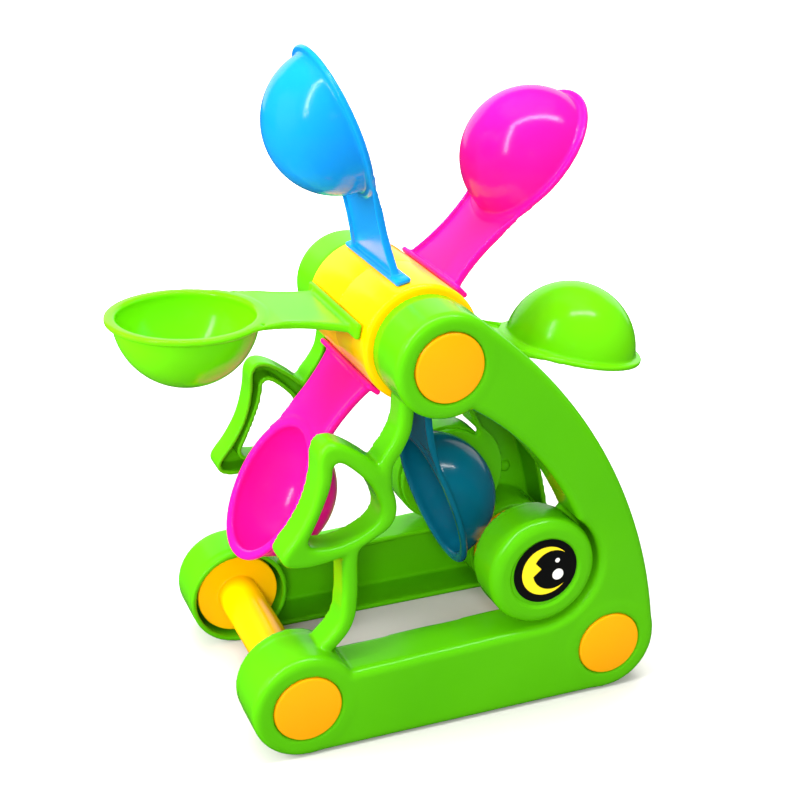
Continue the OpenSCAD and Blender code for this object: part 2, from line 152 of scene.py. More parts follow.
# The limb and its hand loop: shares of the feet's distance and of the axle's rise
UPPER_LIMB_SHARES = [
    (0.261, 0.657), (0.264, 0.693), (0.274, 0.719), (0.299, 0.752),
    (0.322, 0.793), (0.331, 0.830), (0.336, 0.880),
]
LOWER_LIMB_SHARES = [
    (0.164, 0.481), (0.157, 0.424), (0.157, 0.371), (0.157, 0.318),
    (0.155, 0.283), (0.151, 0.247), (0.138, 0.209), (0.114, 0.177),
    (0.082, 0.146), (0.061, 0.127),
]
LOOP_RIM_SHARES = [
    (0.065, 0.760), (0.062, 0.714), (0.054, 0.664), (0.034, 0.602),
    (-0.001, 0.540), (-0.038, 0.493), (-0.051, 0.468), (-0.043, 0.444),
    (-0.018, 0.431), (0.027, 0.426), (0.086, 0.431), (0.146, 0.442),
    (0.189, 0.459), (0.234, 0.482), (0.275, 0.506), (0.297, 0.541),
    (0.299, 0.585), (0.286, 0.632), (0.263, 0.684), (0.226, 0.724),
    (0.182, 0.759), (0.137, 0.787), (0.103, 0.796), (0.079, 0.787),
]
LOOP_HOLE_SHARES = [
    (0.105, 0.702), (0.107, 0.721), (0.120, 0.732), (0.137, 0.729),
    (0.163, 0.710), (0.196, 0.678), (0.222, 0.645), (0.241, 0.608),
    (0.250, 0.570), (0.243, 0.539), (0.220, 0.515), (0.176, 0.492),
    (0.116, 0.477), (0.061, 0.480), (0.036, 0.490), (0.031, 0.510),
    (0.044, 0.539), (0.063, 0.578), (0.081, 0.621), (0.096, 0.661),
]
# The limb's outer face slopes from the foot up to the loop, and from there up to the head
LIMB_SLOPE_Z = FRONT_FOOT[1] + AXLE_RISE * np.array([0.14, 0.31, 0.68, 0.86])
LIMB_SINKS = [LIMB_FOOT_SINK, LIMB_SINK, LIMB_SINK, LIMB_HEAD_SINK]


# Distance fields
# A field is negative inside a shape, and its value is about the distance to the surface.

def smooth_min(a, b, k):
    """Union of two fields with a fillet about k wide where they meet."""
    h = np.maximum(k - np.abs(a - b), 0) / k
    return np.minimum(a, b) - h * h * k / 4


def round_max(a, b, r):
    """Intersection of two fields whose common edge is rounded with radius r."""
    a, b = a + r, b + r
    return np.hypot(np.maximum(a, 0), np.maximum(b, 0)) + np.minimum(np.maximum(a, b), 0) - r


def cut(a, b, r):
    """Field a without field b, with the edge rounded by r."""
    return round_max(a, -b, r)


def disc(p, centre, r):
    return np.hypot(p[:, 0] - centre[0], p[:, 1] - centre[1]) - r


def segments_distance(p, a, b, chunk=20000):
    """Least distance of each 2D point to the segments a-b."""
    out = np.empty(len(p))
    ab = b - a
    length = (ab * ab).sum(1)
    for start in range(0, len(p), chunk):
        q = p[start:start + chunk, None, :] - a[None]
        t = np.clip((q * ab).sum(2) / length, 0, 1)
        gap = q - t[:, :, None] * ab
        out[start:start + chunk] = np.sqrt((gap * gap).sum(2).min(1))
    return out


def polygon_field(p, corners):
    """Signed distance to a closed polygon."""
    a = np.asarray(corners, float)
    b = np.roll(a, -1, axis=0)
    inside = np.zeros(len(p), bool)
    for (ax, az), (bx, bz) in zip(a, b):
        if az == bz:
            continue
        crosses = (p[:, 1] < az) != (p[:, 1] < bz)
        at = ax + (p[:, 1] - az) * (bx - ax) / (bz - az)
        inside ^= crosses & (p[:, 0] < at)
    d = segments_distance(p, a, b)
    return np.where(inside, -d, d)


def curve_point(a, b, c, d, t):
    return (2 * b + (c - a) * t + (2 * a - 5 * b + 4 * c - d) * t * t
            + (3 * b - a - 3 * c + d) * t * t * t) / 2


def on_frame(shares):
    return [FRONT_FOOT + np.array([u * FOOT_SPAN, v * AXLE_RISE]) for u, v in shares]


def closed_curve(shares, steps=6):
    p = on_frame(shares)
    n = len(p)
    return np.array([
        curve_point(p[i - 1], p[i], p[(i + 1) % n], p[(i + 2) % n], j / steps)
        for i in range(n) for j in range(steps)
    ])


def open_curve(shares, steps=6):
    p = on_frame(shares)
    n = len(p)
    made = [
        curve_point(p[max(i - 1, 0)], p[i], p[i + 1], p[min(i + 2, n - 1)], j / steps)
        for i in range(n - 1) for j in range(steps)
    ]
    return np.array([*made, p[-1]])


class Plane:
    """A 2D field kept on a fine grid and read back smoothly anywhere in it."""

    def __init__(self, field, low, high, step=0.5):
        self.low = np.array(low, float)
        self.step = step
        self.size = np.ceil((np.array(high) - self.low) / step).astype(int) + 1
        axes = [self.low[k] + step * np.arange(self.size[k]) for k in range(2)]
        grid = np.stack(np.meshgrid(*axes, indexing="ij"), -1).reshape(-1, 2)
        self.values = field(grid).reshape(self.size)

    def __call__(self, p):
        at = (p - self.low) / self.step
        cell = np.clip(np.floor(at).astype(int), 1, self.size - 3)
        t = np.clip(at - cell, 0, 1)
        weights = [self.weights(t[:, k]) for k in range(2)]
        out = np.zeros(len(p))
        for i in range(4):
            for j in range(4):
                value = self.values[cell[:, 0] + i - 1, cell[:, 1] + j - 1]
                out += weights[0][i] * weights[1][j] * value
        return out

    @staticmethod
    def weights(t):
        """The four weights of a cubic B-spline, which keeps slopes smooth."""
        return (
            (1 - t) ** 3 / 6,
            (3 * t ** 3 - 6 * t ** 2 + 4) / 6,
            (-3 * t ** 3 + 3 * t ** 2 + 3 * t + 1) / 6,
            t ** 3 / 6,
        )


# From a field to a mesh

def surface_mesh(field, low, high, step):
    """Points and quads of the zero surface of a 3D field, one point in each grid cell that it crosses."""
    low = np.array(low, float)
    size = np.ceil((np.array(high) - low) / step).astype(int) + 1
    axes = [low[k] + step * np.arange(size[k]) for k in range(3)]
    values = np.empty(size)
    for i, x in enumerate(axes[0]):
        yz = np.stack(np.meshgrid(axes[1], axes[2], indexing="ij"), -1).reshape(-1, 2)
        layer = np.column_stack([np.full(len(yz), x), yz])
        values[i] = field(layer).reshape(size[1], size[2])
    inside = values < 0
    cells = size - 1
    total = int(np.prod(cells))
    sums = np.zeros((3, total))
    counts = np.zeros(total)
    edges = []
    for axis in range(3):
        lower = [slice(None)] * 3
        upper = [slice(None)] * 3
        lower[axis] = slice(None, -1)
        upper[axis] = slice(1, None)
        lower, upper = tuple(lower), tuple(upper)
        at = np.argwhere(inside[lower] != inside[upper])
        v0 = values[lower][tuple(at.T)]
        v1 = values[upper][tuple(at.T)]
        place = at.astype(float)
        place[:, axis] += v0 / (v0 - v1)
        u, v = (axis + 1) % 3, (axis + 2) % 3
        whole = (at[:, u] > 0) & (at[:, v] > 0) & (at[:, u] < cells[u]) & (at[:, v] < cells[v])
        corners = []
        for du, dv in ((-1, -1), (0, -1), (0, 0), (-1, 0)):
            cell = at.copy()
            cell[:, u] += du
            cell[:, v] += dv
            held = ((cell >= 0) & (cell < cells)).all(1)
            index = np.ravel_multi_index(np.clip(cell, 0, cells - 1).T, cells)
            for k in range(3):
                sums[k] += np.bincount(index[held], place[held, k], total)
            counts += np.bincount(index[held], minlength=total)
            corners.append(index)
        quads = np.stack(corners, 1)[whole]
        flip = (v0 < 0)[whole]
        quads[~flip] = quads[~flip][:, ::-1]
        edges.append(quads)
    used = counts > 0
    number = np.cumsum(used) - 1
    points = low + step * (sums[:, used] / counts[used]).T
    return points, number[np.concatenate(edges)]


def settle(field, points, quads, rounds=2, pulls=2, share=0.5, reach=0.6, slope_step=0.02,
           least_steep=0.25):
    """Evens out the points along the surface and puts them exactly on it."""
    links = np.concatenate([quads[:, [i, (i + 1) % 4]] for i in range(4)])
    count = np.bincount(links.ravel(), minlength=len(points)).astype(float)
    for turn in range(rounds + 1):
        if turn < rounds:
            mean = np.zeros_like(points)
            for k in range(3):
                mean[:, k] = np.bincount(links[:, 0], points[links[:, 1], k], len(points))
                mean[:, k] += np.bincount(links[:, 1], points[links[:, 0], k], len(points))
            points = points + share * (mean / count[:, None] - points)
        for _ in range(pulls):
            value = field(points)
            slope = np.empty_like(points)
            for k in range(3):
                step = np.zeros(3)
                step[k] = slope_step
                slope[:, k] = (field(points + step) - field(points - step)) / (2 * slope_step)
            steep = np.maximum((slope * slope).sum(1), least_steep)
            move = -value[:, None] * slope / steep[:, None]
            length = np.linalg.norm(move, axis=1)
            points = points + move * np.minimum(1, reach / np.maximum(length, reach))[:, None]
    return points


def mesh_object(name, points, faces, smooth_angle=None):
    """A mesh object from points in millimetres."""
    mesh = bpy.data.meshes.new(name)
    if isinstance(faces, np.ndarray):
        mesh.vertices.add(len(points))
        mesh.vertices.foreach_set("co", (np.asarray(points) * MM).astype(np.float32).ravel())
        mesh.loops.add(faces.size)
        mesh.loops.foreach_set("vertex_index", faces.astype(np.int32).ravel())
        mesh.polygons.add(len(faces))
        starts = np.arange(0, faces.size, faces.shape[1], dtype=np.int32)
        mesh.polygons.foreach_set("loop_start", starts)
        mesh.update(calc_edges=True)
        mesh.validate()
    else:
        mesh.from_pydata([Vector(p) * MM for p in points], [], faces)
        mesh.update()
    mesh.polygons.foreach_set("use_smooth", [True] * len(mesh.polygons))
    if smooth_angle:
        mesh.set_sharp_from_angle(angle=math.radians(smooth_angle))
    obj = bpy.data.objects.new(name, mesh)
    bpy.context.scene.collection.objects.link(obj)
    return obj


# Side frames
# Two corners of the grid, as seen from the side
FRAME_LOW = (-98.0, -5.0)
FRAME_HIGH = (98.0, 192.0)
OUTER_ROUND_R = 3.7     # the broad rounding round the outer face
LIMB_ROUND_R = 2.8
RIM_ROUND_R = 0.5       # the open inner rims
CORE_ROUND_R = 1.4      # inside, where skin and walls meet
GROOVE_ROUND_R = 0.8
BLEND = 2.6             # fillet between the arm and the base, and between the limb and its loop
BOSS_BLEND = 1.2        # fillet beside the feet and the head
STEP_BLEND = 0.8        # fillet where depths differ
HOLLOW_END_R = 0.6      # where the hollow ends at a foot or the head
RECESS_EDGE_R = 0.45    # round a cap's recess
TUBE_SINK = 2.0         # the spigots' tubes start this far behind the outer face
BORE_OVER = 1.0         # how far a spigot's bore is cut past the end plate
PEG_SHARE = 0.18        # the small peg's place inside the arm, from the rear foot to the head
PEG_R = 1.25 * WALL_T
PEG_ROUND_R = 0.5
PEG_BLEND = 0.6
COVE_ENDS = (-98, 52)   # directions from the eye to the ends of the corner's curve, in degrees
FRAME_MARGIN = 2.0      # of the grid, beyond the frame's faces
FRAME_STEP = 1.06


def body_plane(p):
    """The arm, the base and the corner behind the eye button, seen from the side."""
    arm = np.maximum(disc(p, ARM_OUT_C, ARM_OUT_R), -disc(p, ARM_IN_C, ARM_IN_R))
    for end, side in ((HEAD, -1), (REAR_FOOT, 1)):
        way = (end - ARM_OUT_C) / np.linalg.norm(end - ARM_OUT_C)
        normal = side * np.array([way[1], -way[0]])
        arm = np.maximum(arm, (p - ARM_OUT_C) @ normal)
    base = polygon_field(p, [
        (FRONT_FOOT[0], 0), (REAR_FOOT[0], 0), (REAR_FOOT[0], EYE[1]),
        (EYE[0], EYE[1] - COVE_R), (FRONT_FOOT[0], FRONT_FOOT[1] + BASE_TOP_H),
    ])
    both = smooth_min(arm, base, BLEND)
    return np.maximum(both, -disc(p, EYE, COVE_R))


def discs_plane(p):
    return np.minimum(
        np.minimum(disc(p, FRONT_FOOT, FOOT_R), disc(p, REAR_FOOT, FOOT_R)),
        disc(p, HEAD, HEAD_R),
    )


def limb_plane(p):
    rim = polygon_field(p, closed_curve(LOOP_RIM_SHARES))
    hole = polygon_field(p, closed_curve(LOOP_HOLE_SHARES))
    loop = rim
    for shares in (UPPER_LIMB_SHARES, LOWER_LIMB_SHARES):
        line = open_curve(shares)
        strip = segments_distance(p, line[:-1], line[1:]) - LIMB_W / 2
        loop = smooth_min(loop, strip, BLEND)
    return np.maximum(loop, -hole)


body_at = Plane(body_plane, FRAME_LOW, FRAME_HIGH)
limb_at = Plane(limb_plane, FRAME_LOW, FRAME_HIGH)


def prism(plane, depth, top, deep, outer_r):
    """A side view's shape between two depths, rounded round its outer face."""
    face = round_max(plane, top - depth, outer_r)
    return round_max(face, depth - deep, RIM_ROUND_R)


def moulding(side, depth):
    """The frame's outer shape, hollowed from its inner side."""
    body, limb, discs = body_at(side), limb_at(side), discs_plane(side)
    sink = np.interp(side[:, 1], LIMB_SLOPE_Z, LIMB_SINKS)
    whole = smooth_min(prism(smooth_min(body, discs, BOSS_BLEND), depth, 0, BODY_D, OUTER_ROUND_R),
                       prism(discs, depth, 0, BOSS_D, OUTER_ROUND_R), STEP_BLEND)
    whole = smooth_min(whole, prism(limb, depth, sink, BODY_D, LIMB_ROUND_R), STEP_BLEND)
    hollow = round_max(body + WALL_T, -discs, HOLLOW_END_R)
    hollow = round_max(hollow, SKIN_T - depth, CORE_ROUND_R)
    groove = round_max(limb + LIMB_WALL_T, -discs, HOLLOW_END_R)
    groove = round_max(groove, sink + SKIN_T - depth, GROOVE_ROUND_R)
    whole = cut(whole, np.minimum(hollow, groove), RIM_ROUND_R)
    ring_hollow = round_max(discs + WALL_T, END_PLATE_T - depth, CORE_ROUND_R)
    return cut(whole, ring_hollow, RIM_ROUND_R)


def eye_plate(side, depth):
    """The plate behind the eye button, with the wall of the corner round it."""
    seat = disc(side, EYE, EYE_R - WALL_T / 2)
    corner = disc(side, EYE, COVE_R + WALL_T / 2)
    for end, turn in zip(COVE_ENDS, (-1, 1)):
        past = turn * np.array([-math.sin(math.radians(end)), math.cos(math.radians(end))])
        corner = np.maximum(corner, (side - EYE) @ past)
    seat = np.minimum(seat, corner)
    return np.maximum(seat, np.maximum(depth - BODY_D, EYE_D + FIT_GAP - depth))


def with_spigot_seat(whole, side, depth, centre):
    """Adds a spigot's tube, and cuts its bore and the recess under its cap."""
    away = disc(side, centre, 0)
    tube_in = SPIGOT_D / 2 + FIT_GAP
    tube = np.maximum(away - tube_in - WALL_T, tube_in - away)
    tube = np.maximum(tube, np.maximum(depth - (FACE_Y - FLANGE_Y - FLANGE_T), TUBE_SINK - depth))
    whole = np.minimum(whole, tube)
    recess = np.maximum(away - CAP_D / 2 - SHOW_GAP, depth - CAP_SINK)
    whole = cut(whole, recess, RECESS_EDGE_R)
    return np.maximum(whole, -np.maximum(away - tube_in, depth - END_PLATE_T - BORE_OVER))


def arm_peg(side, depth):
    """The small peg inside the arm."""
    low, top = REAR_FOOT - ARM_OUT_C, HEAD - ARM_OUT_C
    start, end = math.atan2(low[1], low[0]), math.atan2(top[1], top[0])
    angle = start + PEG_SHARE * (end - start)
    place = ARM_OUT_C + (ARM_OUT_R - FOOT_R / 2) * np.array([math.cos(angle), math.sin(angle)])
    peg = round_max(disc(side, place, PEG_R), depth - SKIN_T - WALL_T, PEG_ROUND_R)
    return np.maximum(peg, SKIN_T / 2 - depth)


def frame_field(p):
    """The right side frame. Depth is measured inwards from its outer face."""
    side = p[:, [0, 2]]
    depth = FACE_Y - p[:, 1]
    whole = np.minimum(moulding(side, depth), eye_plate(side, depth))
    for centre in (FRONT_FOOT, REAR_FOOT, HEAD):
        whole = with_spigot_seat(whole, side, depth, centre)
    whole = np.maximum(whole, EYE_STEM_D / 2 + FIT_GAP - disc(side, EYE, 0))
    whole = smooth_min(whole, arm_peg(side, depth), PEG_BLEND)
    # Nothing reaches below the ground that the feet stand on
    return np.maximum(whole, -side[:, 1])


frame_grid_low = (FRAME_LOW[0], BOSS_Y - FRAME_MARGIN, FRAME_LOW[1])
frame_grid_high = (FRAME_HIGH[0], FACE_Y + FRAME_MARGIN, FRAME_HIGH[1])
points, quads = surface_mesh(frame_field, frame_grid_low, frame_grid_high, FRAME_STEP)
points = settle(frame_field, points, quads)
frame_right = mesh_object("side_frame_moulding_right", points, quads)
frame_left = mesh_object("side_frame_moulding_left", points * (1, -1, 1), quads[:, ::-1].copy())


# Scoops
# Each scoop's own slight angle in its slot, in degrees
SCOOP_LEANS = {
    "blue_upper": -1, "pink_upper": -1, "green_rear": -3.5,
    "blue_lower": -6, "pink_lower": 6, "green_front": 7,
}
FIRST_SCOOP = 2 * SCOOP_STEP    # the upper blue scoop's angle; the others follow in turn
TUCK_SHARE = 0.42       # how far the strap reaches under the bowl, as a share of the lip's radius
STRAP_END = BOWL_REACH + TUCK_SHARE * LIP_R
UNDER_LIP = 0.2         # from the lip's upper face down to the strap
STRAP_EDGE_R = 0.45
LIP_ROUND_R = 1.0
RIB_ROUND_R = 0.6
SEAT_EDGE_R = 1.1
SEAT_END_R = 1.0
BOWL_BLEND = 1.3
LIP_BLEND = 1.2
RIB_BLEND = 0.8
SEAT_BLEND = 1.2
# The grid reaches beyond the scoop in its own place
SCOOP_LOW = (DRUM_R - TANG_L - 1.5, -LIP_R - 2, -37)
SCOOP_HIGH = (BOWL_REACH + 2 * LIP_R + 3, LIP_R + 2, 13)
SCOOP_GRID_STEP = 0.8
tilt = math.radians(BOWL_TILT)


def strap_edge(x):
    """Half of the strap's width at x."""
    lift = np.sqrt(np.maximum(STRAP_SIDE_R ** 2 - (x - WAIST_REACH) ** 2, 1))
    return LIP_R - WAIST_INSET + STRAP_SIDE_R - lift


def scoop_field(p):
    """One scoop in its own place: x outwards from the axle, y across, the mouth to +z."""
    x, y, z = p.T
    across = np.abs(y)
    # The bowl's own place: its mouth's middle is the origin
    bx = (x - BOWL_REACH) * math.cos(tilt) - (z - STRAP_T / 2) * math.sin(tilt) - LIP_R
    bz = (x - BOWL_REACH) * math.sin(tilt) + (z - STRAP_T / 2) * math.cos(tilt)
    radius = np.hypot(bx, y)
    ball = np.sqrt(radius ** 2 + bz ** 2)
    shell = np.abs(ball - BOWL_IN_R - BOWL_WALL_T / 2) - BOWL_WALL_T / 2
    shell = np.maximum(shell, bz + LIP_T / 2)
    lip = round_max(np.abs(radius - LIP_R + LIP_W / 2) - LIP_W / 2,
                    np.abs(bz + LIP_T / 2) - LIP_T / 2, LIP_ROUND_R)
    bowl = smooth_min(shell, lip, LIP_BLEND)

    edge = across - strap_edge(x)
    ends = np.maximum(SEAT_X - x, x - STRAP_END)
    strap = round_max(np.maximum(edge, ends), np.abs(z) - STRAP_T / 2, STRAP_EDGE_R)
    rib = round_max(edge, -edge - RIB_W, RIB_ROUND_R)
    rib = round_max(rib, np.maximum(-STRAP_T / 2 - RIB_H - z, z - STRAP_T / 2), RIB_ROUND_R)
    strap = smooth_min(strap, np.maximum(rib, ends), RIB_BLEND)
    # Beyond the mouth's near edge the strap lies just under the lip's face
    strap = np.maximum(strap, bz + UNDER_LIP)

    seat = round_max(np.abs(x - SEAT_X - SEAT_T / 2) - SEAT_T / 2, across - SEAT_L / 2, SEAT_EDGE_R)
    seat = round_max(seat, np.abs(z) - SEAT_W / 2, SEAT_END_R)
    tang = np.maximum(np.abs(x - DRUM_R + TANG_L / 2 - SEAT_T / 2) - (TANG_L + SEAT_T) / 2,
                      np.maximum(across - TANG_W / 2, np.abs(z) - STRAP_T / 2))
    strap = smooth_min(strap, np.minimum(seat, tang), SEAT_BLEND)
    strap = np.maximum(strap, BOWL_IN_R + BOWL_WALL_T / 2 - ball)
    return smooth_min(bowl, strap, BOWL_BLEND)


scoop_points, scoop_quads = surface_mesh(scoop_field, SCOOP_LOW, SCOOP_HIGH, SCOOP_GRID_STEP)
scoop_points = settle(scoop_field, scoop_points, scoop_quads)


def scoop_place(index, lean_degrees):
    """The matrix that puts a scoop on the wheel, as the part's source does."""
    lean = math.radians(lean_degrees)
    angle = math.radians(WHEEL_PHASE + FIRST_SCOOP - index * SCOOP_STEP)
    return (
        Matrix.Translation((HEAD[0], 0, HEAD[1]))
        @ Matrix.Rotation(-angle, 4, "Y")
        @ Matrix.Translation((SEAT_X / math.cos(lean), 0, 0))
        @ Matrix.Rotation(-lean, 4, "Y")
        @ Matrix.Translation((-SEAT_X, 0, 0))
        @ Matrix.Rotation(math.pi, 4, "X")
    )


scoops = {}
for index, (name, lean) in enumerate(SCOOP_LEANS.items()):
    place = np.array(scoop_place(index, lean))
    placed = scoop_points @ place[:3, :3].T + place[:3, 3]
    scoops[name] = mesh_object("scoop_moulding_" + name, placed, scoop_quads)


# Turned pieces
ON_AXIS = 1e-6          # a smaller radius than this counts as the axis itself
CAP_EDGE_UP = 0.5       # from the frame's face up to the cap's edge
CAP_EDGE_R = 1.3
FLANGE_BACK_R = 0.5
FLANGE_FRONT_R = 0.7
BAR_FILLET_R = 0.8
STEM_OVER = 0.5
STEM_EDGE_R = 0.4
BUTTON_BACK_R = 0.8
DISH_EDGE_R = 1.1
DISH_CORNER_R = 0.6
SEAM_GAP = 0.02         # half of the fine seam between the drum's halves
SEAM_ROUND_R = 0.35
HUB_EDGE_R = 0.4
TURN_SEGMENTS = 144
DRUM_SEGMENTS = 180
# Steps of each rounded corner
CAP_EDGE_STEPS = 7
DOME_STEPS = 10
BAR_STEPS = 5
BUTTON_STEPS = 9
DRUM_STEPS = 8
SIDES = (("left", True), ("right", False))      # name, and whether the piece is mirrored

RECESS_Y = FACE_Y - CAP_SINK
SPIGOT_END_Y = RECESS_Y - FIT_GAP
SHOULDER_Y = FLANGE_Y + FLANGE_T
STEM_Y = BODY_Y + STEM_OVER
DISH_Y = FACE_Y - DISH_D
DRUM_END_Y = BOSS_Y - DRUM_END_GAP
HUB_R = AXLE_D / 2 + RUN_GAP


def arc(centre, r, start, end, steps):
    """Points of an arc in a profile, angles in degrees."""
    return [
        (centre[0] + r * math.cos(math.radians(start + (end - start) * i / steps)),
         centre[1] + r * math.sin(math.radians(start + (end - start) * i / steps)))
        for i in range(steps + 1)
    ]


def turned(name, centre, profile, segments=TURN_SEGMENTS, closed=True, mirror=False, smooth_angle=35):
    """Turns a profile of (radius, y) round the crosswise line through centre."""
    sign = -1 if mirror else 1
    points, faces = [], []
    rows = []
    for r, y in profile:
        if r < ON_AXIS:
            rows.append([len(points)] * segments)
            points.append((centre[0], sign * y, centre[1]))
            continue
        row = []
        for k in range(segments):
            a = 2 * math.pi * k / segments
            row.append(len(points))
            points.append((centre[0] + r * math.cos(a), sign * y, centre[1] + r * math.sin(a)))
        rows.append(row)
    pairs = list(zip(rows, rows[1:] + rows[:1])) if closed else list(zip(rows, rows[1:]))
    for lower, upper in pairs:
        if lower[0] == lower[1] and upper[0] == upper[1]:
            continue
        for k in range(segments):
            m = (k + 1) % segments
            corners = [lower[k], lower[m], upper[m], upper[k]]
            face = [c for i, c in enumerate(corners) if c not in corners[:i]]
            faces.append(face if mirror else face[::-1])
    return mesh_object(name, points, faces, smooth_angle)


def rounded(corners, steps):
    """A profile through corners, each (radius, y, rounding)."""
    out = []
    n = len(corners)
    for i, (r, y, rounding) in enumerate(corners):
        if not rounding:
            out.append((r, y))
            continue
        p = Vector((r, y))
        before = Vector(corners[i - 1][:2]) - p
        after = Vector(corners[(i + 1) % n][:2]) - p
        before.normalize()
        after.normalize()
        half = before.angle(after) / 2
        reach = rounding / math.tan(half)
        middle = p + (before + after).normalized() * (rounding / math.sin(half))
        start = p + before * reach - middle
        end = p + after * reach - middle
        for k in range(steps + 1):
            way = start.lerp(end, k / steps).normalized() * rounding
            out.append(tuple(middle + way))
    return out


def cap_profile():
    """A raised, rounded edge round a shallow dome."""
    flat_r = CAP_D / 2 - CAP_EDGE_R
    rise = CAP_DOME_H - CAP_EDGE_UP
    dome_r = (flat_r ** 2 + rise ** 2) / (2 * rise)
    rim = math.degrees(math.asin(flat_r / dome_r))
    edge = arc((flat_r, FACE_Y + CAP_EDGE_UP - CAP_EDGE_R), CAP_EDGE_R, 0, 90, CAP_EDGE_STEPS)
    dome = arc((0, FACE_Y + CAP_DOME_H - dome_r), dome_r, 90 - rim, 90, DOME_STEPS)
    return [(0, RECESS_Y + FIT_GAP), (CAP_D / 2, RECESS_Y + FIT_GAP)] + edge + dome[1:]


def crossbar_profile():
    """A round bar with a flange and a spigot at each end."""
    half = [
        (SPIGOT_D / 2, SPIGOT_END_Y, 0), (SPIGOT_D / 2, SHOULDER_Y, 0),
        (FLANGE_D / 2, SHOULDER_Y, FLANGE_BACK_R), (FLANGE_D / 2, FLANGE_Y, FLANGE_FRONT_R),
        (BAR_D / 2, FLANGE_Y, BAR_FILLET_R),
    ]
    other = [(r, -y, rounding) for r, y, rounding in half]
    return [(0, -SPIGOT_END_Y)] + rounded(other + half[::-1], BAR_STEPS) + [(0, SPIGOT_END_Y)]


def axle_profile():
    """A rod with a shoulder and a spigot at each end."""
    half = [
        (0, SPIGOT_END_Y), (SPIGOT_D / 2, SPIGOT_END_Y), (SPIGOT_D / 2, SHOULDER_Y),
        (AXLE_D / 2, SHOULDER_Y),
    ]
    return [(r, -y) for r, y in half] + half[::-1]


def button_profile():
    """A broad button with a short stem behind it and a dish for the print."""
    profile = rounded([
        (EYE_STEM_D / 2, STEM_Y, 0), (EYE_STEM_D / 2, FACE_Y - EYE_D, STEM_EDGE_R),
        (EYE_R, FACE_Y - EYE_D, BUTTON_BACK_R), (EYE_R, FACE_Y, EYE_ROUND_R),
        (DISH_R + DISH_D, FACE_Y, DISH_EDGE_R), (DISH_R, DISH_Y, DISH_CORNER_R),
    ], BUTTON_STEPS)
    return [(0, STEM_Y)] + profile + [(0, DISH_Y)]


def drum_profile():
    """Half of the drum, from the seam in the middle to its end."""
    return rounded([
        (HUB_R, SEAM_GAP, 0), (DRUM_R, SEAM_GAP, SEAM_ROUND_R),
        (DRUM_R, DRUM_END_Y, DRUM_ROUND_R), (HUB_R, DRUM_END_Y, HUB_EDGE_R),
    ], DRUM_STEPS)


pieces = {}
for place, centre in (("front", FRONT_FOOT), ("rear", REAR_FOOT), ("axle", HEAD)):
    for side, mirror in SIDES:
        pieces["%s_cap_%s" % (place, side)] = turned(
            "%s_cap_head_%s" % (place, side), centre, cap_profile(), mirror=mirror, closed=False)
for place, centre in (("front", FRONT_FOOT), ("rear", REAR_FOOT)):
    pieces["%s_crossbar" % place] = turned(
        "%s_crossbar_tube" % place, centre, crossbar_profile(), closed=False)
pieces["wheel_axle"] = turned("wheel_axle_rod", HEAD, axle_profile(), closed=False)
for side, mirror in SIDES:
    pieces["eye_button_%s" % side] = turned(
        "eye_button_disc_%s" % side, EYE, button_profile(), mirror=mirror, closed=False)
for side, mirror in SIDES:
    pieces["drum_half_%s" % side] = turned(
        "drum_shell_%s" % side, HEAD, drum_profile(), mirror=mirror, segments=DRUM_SEGMENTS)


# The printed eye
# Places on the print are from its own middle, in millimetres; each circle has a centre and a radius
PRINT_SHIFT = (0.3, 0.9)
PRINT_SINK = 0.01
IRIS = ((0.3, 0.0), 11.3)
PUPIL = ((3.3, 0.0), 9.2)
TOOTH = [(-5.8, 5.4), (-2.0, 1.2), (-6.4, -2.6)]    # a yellow one, which reaches into the pupil
GLINTS = (((5.5, 4.1), 1.1), ((6.0, -2.7), 2.6))
# Points round each circle
RIM_POINTS = 144
SHAPE_POINTS = 120
GLINT_POINTS = 40
JOIN_GAP = 1e-5         # points nearer than this are one point
RIM_GAP = 1e-4          # points nearer to the rim than this lie on it
# The print's material slots
BLACK_SLOT = 0
YELLOW_SLOT = 1
WHITE_SLOT = 2


def circle_points(centre, r, count):
    return [
        (centre[0] + r * math.cos(2 * math.pi * k / count),
         centre[1] + r * math.sin(2 * math.pi * k / count))
        for k in range(count)
    ]


def in_triangle(x, z, corners):
    sides = []
    for (ax, az), (bx, bz) in zip(corners, corners[1:] + corners[:1]):
        sides.append((bx - ax) * (z - az) - (bz - az) * (x - ax) > 0)
    return all(sides) or not any(sides)


def in_circle(x, z, circle):
    (cx, cz), r = circle
    return math.hypot(x - cx, z - cz) < r


def eye_slot(x, z):
    """The material slot at a place on the print."""
    if any(in_circle(x, z, glint) for glint in GLINTS):
        return WHITE_SLOT
    on_crescent = in_circle(x, z, IRIS) and not in_circle(x, z, PUPIL)
    on_tooth = in_circle(x, z, IRIS) and in_triangle(x, z, TOOTH)
    return YELLOW_SLOT if on_crescent or on_tooth else BLACK_SLOT


